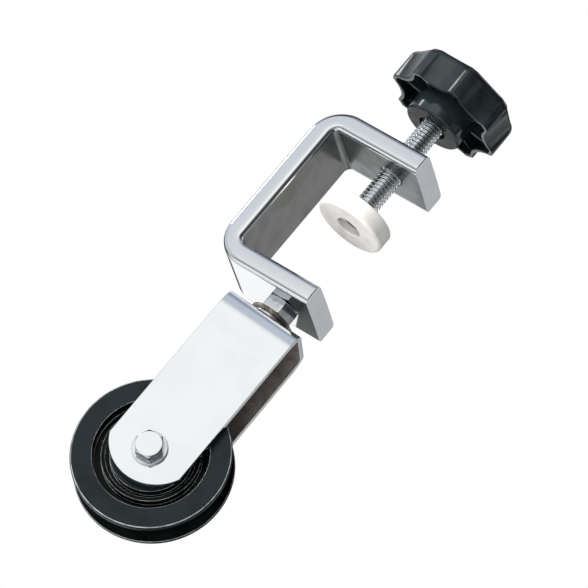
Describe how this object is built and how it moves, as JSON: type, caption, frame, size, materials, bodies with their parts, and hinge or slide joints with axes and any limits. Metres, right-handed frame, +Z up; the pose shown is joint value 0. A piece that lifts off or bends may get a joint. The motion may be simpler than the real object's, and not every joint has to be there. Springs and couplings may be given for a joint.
{
  "type": "single sheave block",
  "caption": "Clamp-on pulley block: a screw clamp with a star knob and round pad carries a swivelling strap yoke with a grooved sheave.",
  "frame": {"origin": "middle of the lower, fixed jaw's clamping face, on the clamp screw's axis", "axes": "+Z up along the clamp screw and swivel axis, towards the knob; +Y along the sheave's axle, from the bolt's head to its nut; +X across the yoke, towards the open side of the clamp"},
  "size_m": [0.0564, 0.0414, 0.1929],
  "materials": {
    "chrome_plate": "bright plated steel",
    "zinc_steel": "bright zinc-plated steel",
    "brass_washer": "dull tan brass",
    "bronze": "sintered bronze",
    "black_nylon": "satin moulded plastic",
    "black_knob": "glossy moulded plastic",
    "white_pad": "off-white moulded plastic"
  },
  "bodies": {
    "clamp": {"clamp_frame": "chrome_plate", "swivel_stud": "zinc_steel", "swivel_nut": "zinc_steel", "swivel_washer": "brass_washer", "swivel_spacer": "zinc_steel", "stud_washer": "zinc_steel"},
    "yoke": {"yoke": "chrome_plate", "axle_bolt": "zinc_steel", "axle_head_washer": "zinc_steel", "axle_sleeve": "zinc_steel", "thrust_washer_front": "zinc_steel", "thrust_washer_back": "zinc_steel", "axle_nut_washer": "zinc_steel", "axle_nut": "zinc_steel"},
    "sheave": {"sheave": "black_nylon", "sheave_bush": "bronze"},
    "pad": {"pressure_pad": "white_pad"},
    "screw": {"clamp_screw": "zinc_steel", "star_knob": "black_knob", "knob_insert": "brass_washer", "pad_ring": "zinc_steel"}
  },
  "joints": [
    {"name": "yoke_swivel", "type": "hinge", "parent": "clamp", "child": "yoke", "pos_m": [0, 0, -0.0166], "axis": [0, 0, 1], "continuous": true},
    {"name": "sheave_spin", "type": "hinge", "parent": "yoke", "child": "sheave", "pos_m": [0, 0, -0.0758], "axis": [0, 1, 0], "continuous": true},
    {"name": "screw_travel", "type": "slide", "parent": "clamp", "child": "pad", "axis": [0, 0, 1], "range_m": [-0.0142, 0.0165]},
    {"name": "screw_turn", "type": "hinge", "parent": "pad", "child": "screw", "pos_m": [0, 0, 0.06], "axis": [0, 0, 1], "range_deg": [-3620, 4205]}
  ],
  "couplings": [
    {"joint": "screw_travel", "follows": "screw_turn", "m_per_rad": 0.00022457}
  ]
}
